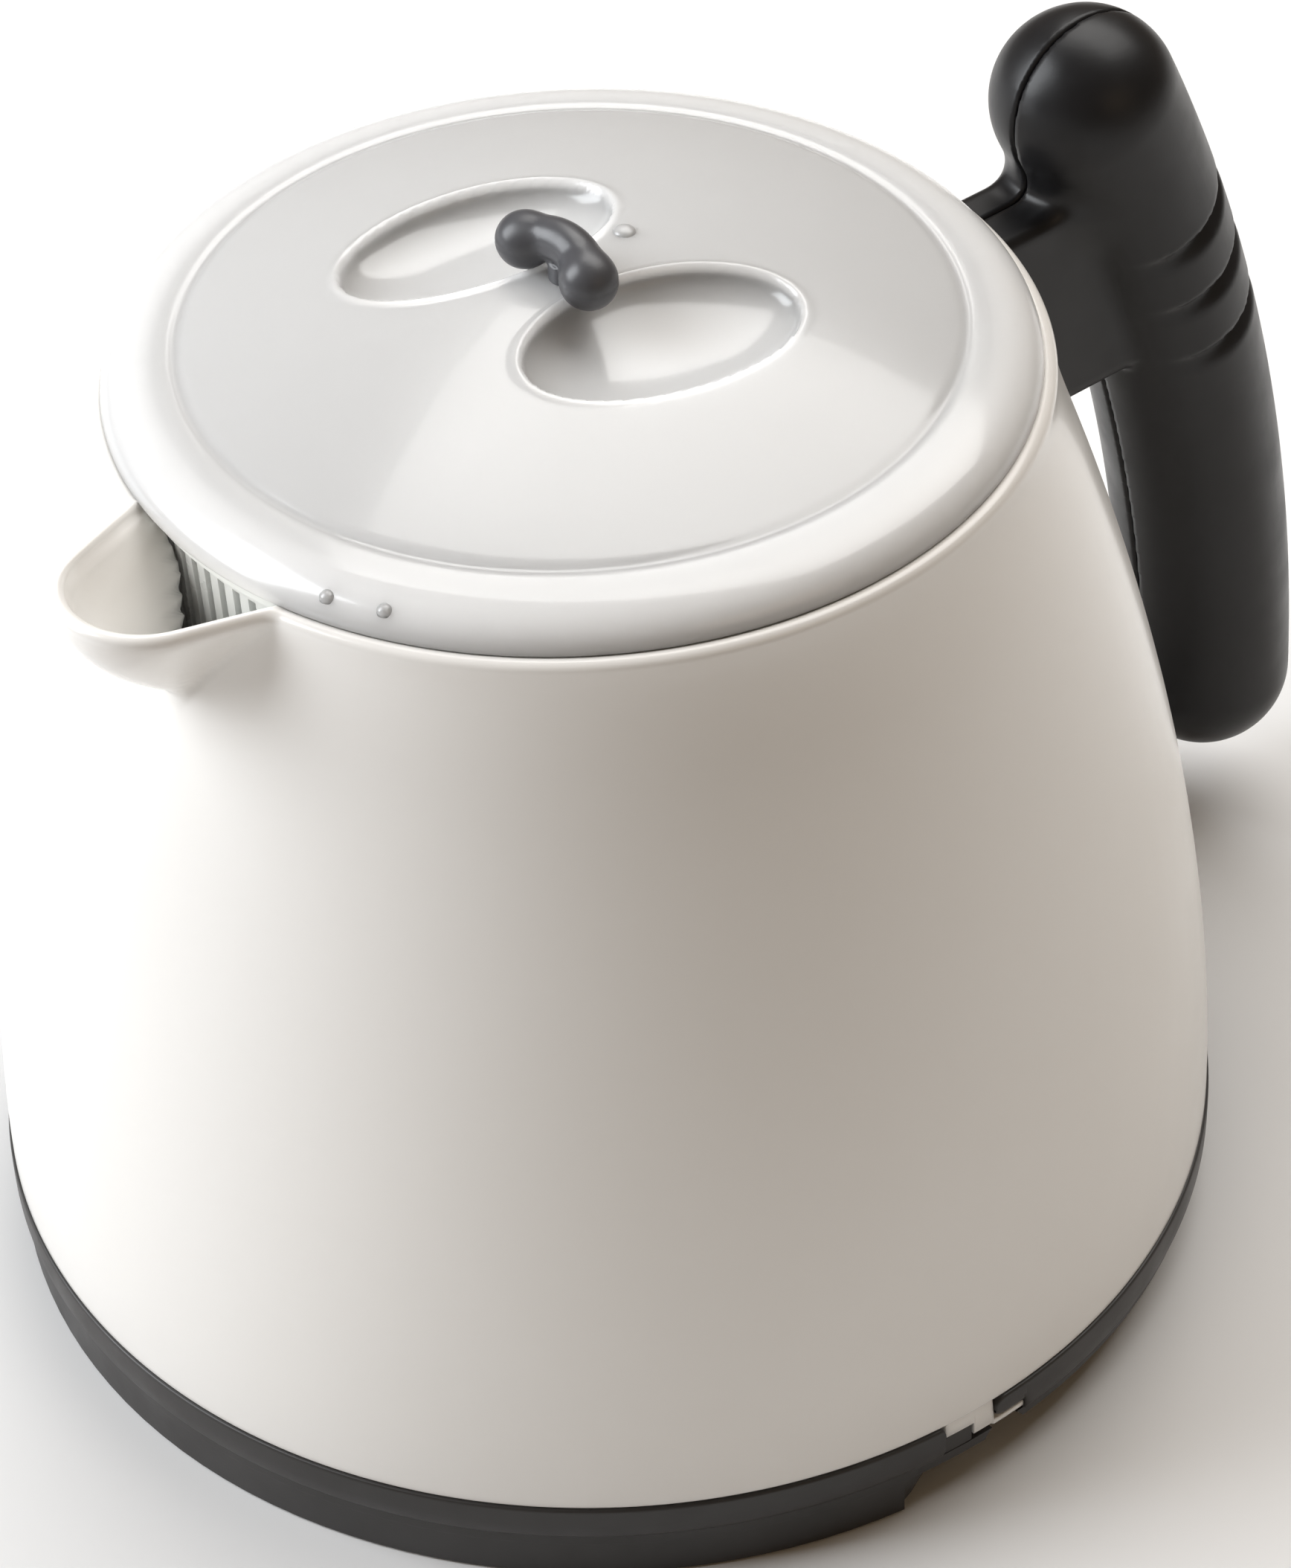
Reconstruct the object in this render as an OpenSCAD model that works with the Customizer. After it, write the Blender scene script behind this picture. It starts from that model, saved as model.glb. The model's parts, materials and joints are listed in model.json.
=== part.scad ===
// Electric yogurt maker: a heated jug with a pouring spout, a lift-out strainer,
// a domed lid and a two-shell handle. Millimetres, +Z up. The origin is on the
// jug's axis at the surface it stands on; the handle points to +X, the spout to -X.

/* [Jug] */
// Outer radius of the jug where it meets the base band
jug_foot_r = 84.7; // [83.5:0.1:84.8]
// How much the wall draws in between the foot and the neck
jug_draw = 20.3; // [19.5:0.1:21]
// Power of the wall's curve: 1 is a straight cone
jug_curve = 1.85; // [1.6:0.05:2.2]
// Outer radius of the rim
rim_r = 61; // [60.8:0.1:61.6]
// Thickness of the jug wall
jug_wall = 2.4; // [2.2:0.1:2.8]
// Height of the rim above the table
rim_z = 134.5; // [134.3:0.1:134.7]

/* [Spout] */
// How far the spout's tip reaches from the axis
spout_reach = 78.6; // [77:0.1:81]
// Half the width of the spout where it leaves the rim
spout_half_w = 17.6; // [16:0.1:19]
// Radius of the spout's round nose
spout_nose_r = 12.6; // [11:0.1:13.5]
// How far the spout stands round from the line through the handle, in degrees
spout_turn = 2.3; // [0:0.1:4]
// Height of the lip above the rim at the tip
lip_rise = 1; // [0.5:0.1:3]

/* [Strainer] */
// Height of the strainer basket's floor
basket_floor_z = 40; // [36:1:60]
// Wall thickness of the basket
basket_wall = 1.4; // [1.2:0.1:1.5]
// Slots in the grille behind the spout
grille_slots = 17; // [9:2:19]
// Drain slots round the basket wall
drain_slots = 30; // [12:2:40]

/* [Lid] */
// Outer radius of the lid
lid_r = 59.3; // [58.8:0.1:59.8]
// Height of the lid's crown above the table
lid_top_z = 147.2; // [146.5:0.1:147.5]
// Half the length of a finger dimple
dimple_half_l = 19.1; // [17:0.1:20]
// Half the width of a finger dimple
dimple_half_w = 11.4; // [10:0.1:12]

/* [Handle] */
// Radius of the round grip
grip_r = 12.8; // [12.5:0.1:13.5]
// Wall thickness of the handle shells
grip_wall = 2.4; // [2:0.1:2.8]
// Width of the arm that joins the grip to the jug
arm_w = 13; // [12:0.5:15]
// Height of the arm's top edge
arm_top_z = 124.5; // [122:0.5:126]
// Height of the arm's lower edge
arm_low_z = 92; // [90:0.5:94]

/* [Base] */
// Widest radius of the base band
band_r = 85.1; // [85:0.1:86]
// Radius of the hub under the base
hub_r = 64; // [63:0.5:65]
// Radius of the heater plate
heater_r = 50; // [44:0.5:51]

/* [Hidden] */
$fn = 96;

gap = 0.3;           // clearance between parts that lift apart
fit = 0.05;          // clearance round a screw shank
hull_fn = 24;

white = [0.94, 0.93, 0.91];
natural = [0.88, 0.9, 0.9, 0.7];
charcoal = [0.24, 0.24, 0.26];

// Jug heights
foot_z = 13.5;       // where the white wall meets the band
spigot_z = 10.5;     // lower edge of the jug, hidden behind the band
spigot_r = 81.2;
spigot_in_r = 79.2;
floor_low_z = 22;
floor_z = 24.4;
neck_z = 119.5;
neck_end_z = 133;
ledge_z = 132;       // the strainer's flange sits on this ledge
bore_r = 56.9;       // inside the ledge
seat_r = 58.4;       // inside the rim, above the ledge
rim_round = 1.3;

// Spout
lip_z = rim_z + lip_rise;
keel_r = 2.6;
wing_r = 1.6;

// Strainer
flange_r = 58;
basket_top_r = bore_r - 0.4;
basket_low_r = 53.4;
flange_top_z = rim_z - 0.2;
grille_low_z = 104;
grille_top_z = 130;
grille_pitch = 2.9;  // degrees
grille_slot_w = 1.3;
drain_slot_w = 1.6;

// Lid
lid_low_z = rim_z + gap;
disc_r = 49.5;
disc_z = 139.8;
lid_wall = 1.6;
plug_r = 54.5;
plug_low_z = 128;
dimple_y = 15.6;
dimple_x = -2.5;
dimple_turn = -10;
dimple_depth = 5.3;
dimple_mid_z = lid_top_z + 0.5;

// Knob
bulb_r = 3.7;
bulb_x = -1.6;
bulb_y = 6.15;
bulb_z = 150.3;
arch_rise = 2.3;
arch_lean = 45;            // the arch leans towards +X as it rises
arch_tube_r = 2.8;
stem_r = 2.4;
stem_low_z = lid_top_z - 4.6;
knob_turn = 2;

// Handle: the grip's centre line is an arc about [arc_x, arc_z]
arc_r = 278.8;
arc_x = -162.4;
arc_z = 11.9;
arc_low = 2.37;
arc_high = 26.39;
grip_screw_at = [arc_low + 1.3, 10, arc_high];
arm_screw_at = [[77.5, 101], [75, 113.5]];
tongue_half_w = 2;
tongue_end_x = 82;
tongue_low_z = 96;
tongue_top_z = 119.5;
groove_at = [17.9, 20.05, 22.2];
groove_tilt = 24;
groove_depth = 1.2;
groove_w = 3;
screw_r = 1.5;
screw_head_r = 2.8;
screw_head_h = 1.9;

// Base
band_low_z = 7.9;
band_top_z = foot_z - 0.1;
notch_from = -97;
notch_to = -91.5;
notch_mid = -93.6;         // the cover's raised step ends here and the jug's foot begins
notch_step_z = 10.6;
notch_fill_r = 84.2;
slot_to = -87.8;           // the jug's foot runs on in a slot under the band
slot_low_z = 8.5;
slot_top_z = 9.8;
plate_low_z = 6.2;
plate_top_z = 9;
cover_edge_z = 7.7;
cover_edge_r = 84.3;
cover_r = 81.2;
hub_low_z = 0.8;
hub_floor_z = 2.8;
hub_wall = 2.2;
skirt_low_z = 0.4;
skirt_in_r = 81.8;
skirt_half_turn = 79;      // the foot skirt runs this far each side of the spout
foot_in_r = 57;
foot_out_r = 61;
foot_top_z = 1.6;
base_screw_at = 71;
clamp_screw_at = 56;
cord_z = 4.8;
cord_bore_r = 2.2;
grommet_r = 3;
grommet_flange_r = 3.5;
grommet_seat = 0.6;        // depth of the flat that the grommet's flange sits on
clamp_post_x = 7.5;
clamp_y = -50;

// Heater stack, from the jug floor down
plate_z = [20.4, 21.9];
element_z = [18.9, 20.3];
insulation_z = [17.5, 18.8];
clamp_z = [16.3, 17.4];
element_in_r = 18;
element_out_r = 40;
wire_r = 1.1;

// ---------------------------------------------------------------- outlines

// Outer radius of the jug at height z, up to the neck
function wall_r(z) = jug_foot_r
    - jug_draw * pow((z - foot_z) / (neck_z - foot_z), jug_curve);

// The neck turns from the wall's slope to the upright rim
neck_slope = jug_draw * jug_curve / (neck_z - foot_z);
neck_mid_z = neck_z + (wall_r(neck_z) - rim_r) / neck_slope;
function neck_point(t) = pow(1 - t, 2) * [wall_r(neck_z), neck_z]
    + 2 * t * (1 - t) * [rim_r, neck_mid_z] + t * t * [rim_r, neck_end_z];

wall_steps = 10;
function jug_outside(grow = 0) = concat(
    [for (i = [0 : wall_steps]) let (z = foot_z + (neck_z - foot_z) * i / wall_steps)
        [wall_r(z) + grow, z]],
    [for (t = [0.2 : 0.2 : 1]) neck_point(t) + [grow, 0]]);
function jug_rim() = [for (a = [0 : 15 : 90])
    [rim_r - rim_round + rim_round * cos(a), rim_z - rim_round + rim_round * sin(a)]];
// From the floor up, so that it is read backwards in the jug's outline
function jug_inside() = concat(
    [[0, floor_z], [wall_r(floor_z) - jug_wall - 4, floor_z]],
    [for (i = [1 : wall_steps - 1])
        let (z = floor_z + 4 + (neck_z - 3 - floor_z - 4) * (i - 1) / (wall_steps - 2))
        [wall_r(z) - jug_wall, z]],
    [[bore_r, 127], [bore_r, ledge_z]]);
function backwards(list) = [for (i = [len(list) - 1 : -1 : 0]) list[i]];

module jug_outside_solid(grow) {
    rotate_extrude()
        polygon(concat([[0, foot_z]], jug_outside(grow), [[0, neck_end_z]]));
}

module jug_cavity() {
    rotate_extrude()
        polygon(concat(jug_inside(), [[seat_r, ledge_z], [seat_r, rim_z + 9], [0, rim_z + 9]]));
}

// ---------------------------------------------------------------- helpers

module ring(r_in, r_out, z_low, z_high) {
    rotate_extrude()
        translate([r_in, z_low])
            square([r_out - r_in, z_high - z_low]);
}

module part_ring(r_in, r_out, z_low, z_high, from, to) {
    rotate([0, 0, from])
        rotate_extrude(angle = to - from)
            translate([r_in, z_low])
                square([r_out - r_in, z_high - z_low]);
}

// A rod along Y between two values of y
module y_rod(x, z, y_from, y_to, r) {
    translate([x, max(y_from, y_to), z])
        rotate([90, 0, 0])
            cylinder(r = r, h = abs(y_to - y_from));
}

// Screws that stand on end: shank up from the head
module up_screw(z_head, z_tip, r_head, r_shank) {
    cylinder(r = r_head, h = 1.3 + 0.01);
    translate([0, 0, 1.3])
        cylinder(r = r_shank, h = z_tip - z_head - 1.3);
}

module around(angles, radius) {
    for (a = angles)
        rotate([0, 0, a])
            translate([radius, 0, 0])
                children();
}

function unit(v) = v / norm(v);

// A smooth curve through the points, with 4 steps between each two
function between(a, b, c, d, t) = 0.5 * (2 * b + (c - a) * t
    + (2 * a - 5 * b + 4 * c - d) * t * t + (3 * b - a - 3 * c + d) * t * t * t);
function smooth(points) = let (last = len(points) - 1) concat(
    [for (i = [0 : last - 1], t = [0 : 0.25 : 0.75])
        between(points[max(i - 1, 0)], points[i], points[i + 1], points[min(i + 2, last)], t)],
    [points[last]]);

// Side vectors carried along the tangents without twist
function carried(tangents, i, side) = i == len(tangents) ? [] :
    let (now = unit(side - (side * tangents[i]) * tangents[i]))
    concat([now], carried(tangents, i + 1, now));

// A round wire swept along a smooth curve through the points
module wire(points) {
    sides = 8;
    path = smooth(points);
    last = len(path) - 1;
    tangents = [for (i = [0 : last]) unit(path[min(i + 1, last)] - path[max(i - 1, 0)])];
    out = carried(tangents, 0, [0.6, 0.2, 1]);
    rings = [for (i = [0 : last], k = [0 : sides - 1]) let (a = 360 * k / sides)
        path[i] + wire_r * (cos(a) * out[i] + sin(a) * cross(tangents[i], out[i]))];
    walls = [for (i = [0 : last - 1], k = [0 : sides - 1])
        let (a = i * sides + k, b = i * sides + (k + 1) % sides)
        each [[a, a + sides, b], [b, a + sides, b + sides]]];
    polyhedron(rings, concat(walls,
        [[for (k = [0 : sides - 1]) k]],
        [[for (k = [sides - 1 : -1 : 0]) last * sides + k]]));
}

// ---------------------------------------------------------------- jug

module spout_outer() {
    rotate([0, 0, spout_turn])
        intersection() {
            hull() {
                translate([-spout_reach + spout_nose_r, 0, lip_z - 3])
                    cylinder(r1 = spout_nose_r - 0.6, r2 = spout_nose_r, h = 6, $fn = hull_fn);
                translate([-spout_reach + 5.6, 0, lip_z - 6])
                    sphere(r = keel_r, $fn = hull_fn);
                translate([-63.4, 0, 119.8])
                    sphere(r = keel_r - 0.6, $fn = hull_fn);
                for (side = [-1, 1])
                    translate([-57, side * (spout_half_w - wing_r), lip_z - 3])
                        cylinder(r = wing_r, h = 9, $fn = hull_fn);
            }
            below_lip();
        }
}

module spout_inner() {
    inner_r = spout_nose_r - jug_wall;
    rotate([0, 0, spout_turn])
        hull() {
            translate([-spout_reach + spout_nose_r, 0, lip_z - 2.5])
                cylinder(r1 = inner_r - 0.6, r2 = inner_r, h = 8, $fn = hull_fn);
            translate([-spout_reach + 8.5, 0, lip_z - 5])
                sphere(r = keel_r - 0.8, $fn = hull_fn);
            translate([-55, 0, 119.5])
                sphere(r = keel_r - 0.7, $fn = hull_fn);
            for (side = [-1, 1])
                translate([-52, side * (spout_half_w - 4), lip_z - 2.4])
                    cylinder(r = wing_r, h = 11, $fn = hull_fn);
        }
}

// The half space below the sloping lip
module below_lip() {
    tilt = atan(lip_rise / (spout_reach - rim_r + 2));
    translate([-rim_r + 2, 0, rim_z])
        rotate([0, tilt, 0])
            translate([-60, -50, -100])
                cube([100, 100, 100]);
}

module jug_shell() {
    rotate_extrude()
        polygon(concat(
            [[0, floor_low_z], [82.2, floor_low_z], [82.2, 16], [spigot_in_r, 16]],
            [[spigot_in_r, spigot_z], [spigot_r, spigot_z], [spigot_r, foot_z]],
            jug_outside(),
            jug_rim(),
            [[seat_r, rim_z], [seat_r, ledge_z]],
            backwards(jug_inside())));
}

// The upright tongue that the handle's shells clamp
module handle_tongue() {
    rotate([90, 0, 0])
        linear_extrude(height = 2 * tongue_half_w, center = true)
            polygon([
                [wall_r(tongue_low_z) - 1, tongue_low_z],
                [tongue_end_x, tongue_low_z],
                [tongue_end_x, tongue_top_z],
                [wall_r(tongue_top_z) - 1, tongue_top_z]]);
}

module jug_body() {
    color(white)
        difference() {
            union() {
                jug_shell();
                difference() {
                    spout_outer();
                    jug_cavity();
                }
                handle_tongue();
                translate([0, 0, plate_top_z + 0.1])
                    around([45 : 90 : 315], base_screw_at)
                        cylinder(r = 3.6, h = floor_low_z - plate_top_z);
                translate([0, 0, clamp_z[1] + 0.1])
                    around([0 : 120 : 240], clamp_screw_at)
                        cylinder(r = 3.4, h = floor_low_z - clamp_z[1]);
                part_ring(spigot_r - 1, notch_fill_r, notch_step_z + 0.1, foot_z + 0.5,
                    notch_from + 0.3, notch_to - 0.3);
                part_ring(cover_r + 0.15, notch_fill_r - 0.1, slot_low_z + 0.15, foot_z + 0.3,
                    notch_mid, notch_to - 0.4);
                part_ring(cover_r + 0.2, notch_fill_r - 0.2, slot_low_z + 0.1, slot_top_z - 0.1,
                    notch_mid + 0.1, slot_to - 0.3);
            }
            spout_inner();
            for (at = arm_screw_at)
                y_rod(at[0], at[1], -5, 5, screw_r + fit);
            translate([0, 0, plate_top_z])
                around([45 : 90 : 315], base_screw_at)
                    cylinder(r = screw_r + fit, h = 10.5);
            translate([0, 0, clamp_z[1]])
                around([0 : 120 : 240], clamp_screw_at)
                    cylinder(r = 1.2 + fit, h = 4);
        }
}

// ---------------------------------------------------------------- strainer

module strainer_basket() {
    color(natural)
        difference() {
            rotate_extrude()
                polygon([
                    [0, basket_floor_z],
                    [basket_low_r, basket_floor_z],
                    [basket_top_r, ledge_z + gap],
                    [flange_r, ledge_z + gap],
                    [flange_r, flange_top_z],
                    [basket_top_r - basket_wall, flange_top_z],
                    [basket_low_r - basket_wall, basket_floor_z + basket_wall],
                    [0, basket_floor_z + basket_wall]]);
            for (i = [0 : grille_slots - 1])
                rotate([0, 0, 180 + (i - (grille_slots - 1) / 2) * grille_pitch])
                    translate([50, -grille_slot_w / 2, grille_low_z])
                        cube([10, grille_slot_w, grille_top_z - grille_low_z]);
            around([0 : 360 / drain_slots : 359], 48)
                translate([0, -drain_slot_w / 2, basket_floor_z + 8])
                    cube([12, drain_slot_w, 50]);
            around([0 : 30 : 330], 10)
                translate([0, -drain_slot_w / 2, basket_floor_z - 1])
                    cube([14, drain_slot_w, 5]);
            around([7.5 : 15 : 352.5], 29)
                translate([0, -drain_slot_w / 2, basket_floor_z - 1])
                    cube([16, drain_slot_w, 5]);
        }
}

// ---------------------------------------------------------------- lid

function dome_z(r, top, edge_r, edge_z) = edge_z + (top - edge_z) * (1 - pow(r / edge_r, 2));

// Outside of the lid: a quarter ellipse for the shoulder, then the shallow dome
function lid_outside() = concat(
    [for (a = [0 : 10 : 90])
        [disc_r + (lid_r - disc_r) * cos(a), lid_low_z + (disc_z - lid_low_z) * sin(a)]],
    [for (i = [9 : -1 : 0]) let (r = disc_r * i / 10) [r, dome_z(r, lid_top_z, disc_r, disc_z)]]);

function lid_inside() = [for (i = [0 : 10]) let (r = (disc_r - 1) * i / 10)
    [r, dome_z(r, lid_top_z, disc_r - 1, disc_z) - lid_wall]];

module dimple(grow) {
    for (turn = [0, 180])
        rotate([0, 0, turn])
            translate([dimple_x, dimple_y, dimple_mid_z])
                rotate([0, 0, dimple_turn])
                    scale([dimple_half_l + grow, dimple_half_w + grow, dimple_depth + grow])
                        sphere(r = 1, $fn = 40);
}

module lid_shell() {
    color(natural)
        difference() {
            union() {
                rotate_extrude()
                    polygon(concat(lid_outside(), lid_inside(), [
                        [plug_r - 1.4, lid_low_z + 1],
                        [plug_r - 1.4, plug_low_z],
                        [plug_r, plug_low_z],
                        [plug_r, lid_low_z]]));
                intersection() {
                    rotate_extrude()
                        polygon(concat(lid_outside(), [[0, lid_low_z]]));
                    dimple(lid_wall - 0.1);
                }
            }
            dimple(0);
            translate([0, 0, plug_low_z])
                cylinder(r = stem_r + 0.1, h = 30);
            translate([0, 0, plug_low_z])
                cylinder(r = 4.5, h = lid_top_z - lid_wall - plug_low_z);
        }
}

module lid_knob() {
    arch_r = (bulb_y * bulb_y + arch_rise * arch_rise) / (2 * arch_rise);
    half_turn = asin(bulb_y / arch_r);
    color(charcoal)
        rotate([0, 0, knob_turn]) {
            for (side = [-1, 1])
                translate([bulb_x, side * bulb_y, bulb_z])
                    sphere(r = bulb_r);
            translate([bulb_x, 0, bulb_z])
                rotate([0, arch_lean, 0])
                    translate([0, 0, arch_rise - arch_r])
                        rotate([90, 0, 90])
                            rotate([0, 0, 90 - half_turn])
                                rotate_extrude(angle = 2 * half_turn)
                                    translate([arch_r, 0])
                                        circle(r = arch_tube_r);
            translate([0, 0, stem_low_z])
                cylinder(r = stem_r, h = bulb_z - stem_low_z);
        }
}

module knob_retainer() {
    color(charcoal)
        ring(stem_r + fit, 4.2, stem_low_z + 0.8, lid_top_z - lid_wall - 0.1);
}

// ---------------------------------------------------------------- handle

function grip_point(a) = [arc_x + arc_r * cos(a), arc_z + arc_r * sin(a)];

// The grip: straight lengths along the arc, with a slightly fuller ball at each joint
module grip_solid(r) {
    steps = 4;
    turn = (arc_high - arc_low) / steps;
    for (i = [0 : steps]) {
        at = grip_point(arc_low + i * turn);
        translate([at[0], 0, at[1]]) {
            sphere(r = r + 0.03);
            if (i < steps)
                rotate([0, -arc_low - (i + 0.5) * turn, 0])
                    cylinder(r = r, h = 2 * arc_r * sin(turn / 2));
        }
    }
}

// The arm: a bar along X whose long edges are rounded
module arm_solid(shrink) {
    round_r = 2;
    half_w = arm_w / 2 - shrink;
    low = arm_low_z + shrink;
    high = arm_top_z - shrink;
    translate([60, 0, 0])
        rotate([90, 0, 90])
            linear_extrude(height = 36) {
                translate([-half_w, low + round_r])
                    square([2 * half_w, high - low - 2 * round_r]);
                translate([-half_w + round_r, low])
                    square([2 * (half_w - round_r), high - low]);
                for (y = [-half_w + round_r, half_w - round_r], z = [low + round_r, high - round_r])
                    translate([y, z])
                        circle(r = round_r);
            }
}

// Three slanting crescent grooves, deepest on the outer side of the grip
module grip_grooves() {
    for (a = groove_at)
        translate([arc_x, 0, arc_z])
            rotate([90, 0, 0])
                rotate([0, 0, a])
                    translate([arc_r, 0, 0])
                        rotate([90, 0, 0])
                            rotate([groove_tilt, 0, 0])
                                difference() {
                                    translate([0, 0, -groove_w / 2])
                                        cylinder(r = grip_r + 4, h = groove_w);
                                    translate([-groove_depth, 0, -groove_w])
                                        cylinder(r = grip_r, h = 2 * groove_w);
                                }
}

// side is -1 for the shell on the -Y side and 1 for the one that holds the screws
module handle_shell(side) {
    difference() {
        union() {
            difference() {
                union() {
                    difference() {
                        grip_solid(grip_r);
                        grip_grooves();
                    }
                    arm_solid(0);
                }
                grip_solid(grip_r - grip_wall);
                arm_solid(grip_wall - 0.3);
            }
            for (a = grip_screw_at)
                y_rod(grip_point(a)[0], grip_point(a)[1], side * 0.05, side * (grip_r - 1.2), 4);
            for (at = arm_screw_at)
                y_rod(at[0], at[1], side * (tongue_half_w + 0.1), side * (arm_w / 2 - 1), 3.4);
        }
        jug_outside_solid(0.1);
        translate([0, side > 0 ? -50 : -0.05, 0])
            cube([200, 50.05, 200]);
        for (a = grip_screw_at)
            y_rod(grip_point(a)[0], grip_point(a)[1], -9, 20, screw_r + fit);
        for (at = arm_screw_at)
            y_rod(at[0], at[1], -5, 20, screw_r + fit);
        for (a = grip_screw_at)
            y_rod(grip_point(a)[0], grip_point(a)[1], 4, 20, screw_head_r + 0.2);
        for (at = arm_screw_at)
            y_rod(at[0], at[1], 4.5, 20, screw_head_r + 0.2);
    }
}

module handle_near_shell() {
    color(charcoal) handle_shell(-1);
}

module handle_far_shell() {
    color(charcoal) handle_shell(1);
}

module cross_screw(x, z, y_head, y_tip) {
    y_rod(x, z, y_head, y_tip, screw_r);
    difference() {
        y_rod(x, z, y_head, y_head + screw_head_h, screw_head_r);
        for (turn = [0, 90])
            translate([x, y_head + screw_head_h, z])
                rotate([0, turn, 0])
                    cube([3.4, 1.8, 0.7], center = true);
    }
}

module handle_screws() {
    color("silver") {
        for (a = grip_screw_at)
            cross_screw(grip_point(a)[0], grip_point(a)[1], 4.05, -8.5);
        for (at = arm_screw_at)
            cross_screw(at[0], at[1], 4.55, -4.6);
    }
}

// ---------------------------------------------------------------- base

module base_ring() {
    color(charcoal)
        difference() {
            rotate_extrude()
                polygon([
                    [spigot_r + 0.3, band_low_z],
                    [band_r - 0.5, band_low_z],
                    [band_r, band_low_z + 0.5],
                    [jug_foot_r - 0.1, band_top_z],
                    [spigot_r + 0.3, band_top_z],
                    [spigot_r + 0.3, 10.3],
                    [79.6, 10.3],
                    [79.6, plate_top_z + 0.1],
                    [spigot_r + 0.3, plate_top_z + 0.1]]);
            part_ring(78, 90, band_low_z - 1, band_top_z + 1, notch_from, notch_to);
            part_ring(78, 90, slot_low_z, slot_top_z, notch_to - 1, slot_to);
        }
}

module base_cover() {
    color(charcoal)
        difference() {
            union() {
                rotate_extrude()
                    polygon([
                        [0, hub_low_z],
                        [hub_r, hub_low_z],
                        [hub_r, plate_low_z],
                        [cover_edge_r, plate_low_z],
                        [cover_edge_r, cover_edge_z],
                        [cover_r, cover_edge_z],
                        [cover_r, plate_top_z],
                        [hub_r - hub_wall, plate_top_z],
                        [hub_r - hub_wall, hub_floor_z],
                        [0, hub_floor_z]]);
                part_ring(skirt_in_r, cover_edge_r - 0.1, skirt_low_z, plate_low_z + 0.7,
                    180 - skirt_half_turn, 180 + skirt_half_turn);
                part_ring(skirt_in_r, notch_fill_r, plate_low_z + 0.7, notch_step_z,
                    notch_from + 0.3, notch_mid - 0.2);
                for (side = [-1, 1])
                    translate([side * clamp_post_x, clamp_y, hub_low_z + 0.5])
                        cylinder(r = 3, h = 5.9);
            }
            translate([0, 0, -1])
                around([45 : 90 : 315], base_screw_at) {
                    cylinder(r = screw_r + 0.3, h = 12);
                    cylinder(r = 3.4, h = 8.6);
                }
            y_rod(0, cord_z, -hub_r + 6, -90, grommet_r + fit);
            y_rod(0, cord_z, -hub_r + grommet_seat, -90, grommet_flange_r + 0.1);
            for (side = [-1, 1])
                translate([side * clamp_post_x, clamp_y, hub_floor_z])
                    cylinder(r = 1.2 + fit, h = 8);
            ring(foot_in_r - fit, foot_out_r + fit, -1, foot_top_z + fit);
        }
}

module base_screws() {
    color("silver")
        translate([0, 0, 6.25])
            around([45 : 90 : 315], base_screw_at)
                up_screw(6.25, 18.5, 3, screw_r);
}

module foot_ring() {
    color([0.1, 0.1, 0.1]) ring(foot_in_r, foot_out_r, 0, foot_top_z);
}

// ---------------------------------------------------------------- heater

module heater_plate() {
    color("lightgray")
        translate([0, 0, plate_z[0]])
            cylinder(r = heater_r, h = plate_z[1] - plate_z[0]);
}

module heater_element() {
    color([0.55, 0.45, 0.3]) {
        ring(element_in_r, element_out_r, element_z[0], element_z[1]);
        for (side = [-1, 1])
            translate([side * 3 - 1, -element_in_r - 0.4, element_z[0]])
                cube([2, 2.4, element_z[1] - element_z[0]]);
    }
}

module insulation_ring() {
    color([0.9, 0.88, 0.8]) ring(element_in_r + 2, element_out_r + 4, insulation_z[0], insulation_z[1]);
}

module element_clamp() {
    color("silver")
        difference() {
            union() {
                ring(element_in_r + 3, element_out_r + 4, clamp_z[0], clamp_z[1]);
                around([0 : 120 : 240], element_out_r)
                    translate([0, -5, clamp_z[0]])
                        cube([20, 10, clamp_z[1] - clamp_z[0]]);
            }
            translate([0, 0, clamp_z[0] - 1])
                around([0 : 120 : 240], clamp_screw_at)
                    cylinder(r = 1.4, h = 4);
        }
}

module clamp_screws() {
    color("silver")
        translate([0, 0, clamp_z[0] - 1.4])
            around([0 : 120 : 240], clamp_screw_at)
                up_screw(clamp_z[0] - 1.4, 21, 2.4, 1.2);
}

module thermostat() {
    color([0.2, 0.18, 0.16]) {
        translate([0, 0, 11])
            cylinder(r = 8, h = 7.5);
        translate([0, 0, 18.5])
            cylinder(r = 7.2, h = 1.8);
        for (side = [-1, 1])
            translate([side * 5 - 1.5, -0.4, 7.8])
                cube([3, 0.8, 3.3]);
    }
}

fuse_y = 13.5;
fuse_z = 18.2;
module thermal_fuse() {
    color("gainsboro")
        translate([0, fuse_y, fuse_z])
            rotate([0, 90, 0]) {
                cylinder(r = 1.9, h = 10, center = true);
                cylinder(r = 0.5, h = 18, center = true);
            }
}

terminal_y = -38;
module terminal_block() {
    color("ivory")
        difference() {
            translate([-12, terminal_y - 5, hub_floor_z + 0.05])
                cube([24, 10, 8.5]);
            for (side = [-1, 1]) {
                y_rod(side * 6, 7.5, terminal_y - 6, terminal_y + 6, 1.5);
                translate([side * 6, terminal_y, 8])
                    cylinder(r = 1.8, h = 4);
            }
        }
}

wire_start_y = terminal_y + 3;
module live_wire() {
    color("brown")
        wire([[-6, wire_start_y, 7.5], [-6.2, wire_start_y + 3, 7.5], [-9, -26, 7.8], [-14, -8, 8],
            [-14, 4, 9], [-10, fuse_y, 16.5]]);
}

module neutral_wire() {
    color("royalblue")
        wire([[6, wire_start_y, 7.5], [6.2, wire_start_y + 3, 7.5], [8.4, -26.5, 8], [5, -19, 12],
            [3, -16.8, 17.6]]);
}

module link_wire() {
    color("brown")
        wire([[10, fuse_y, 17], [11, 12, 12], [9.5, 4, 8], [7.8, 0, 8.6]]);
}

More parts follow.
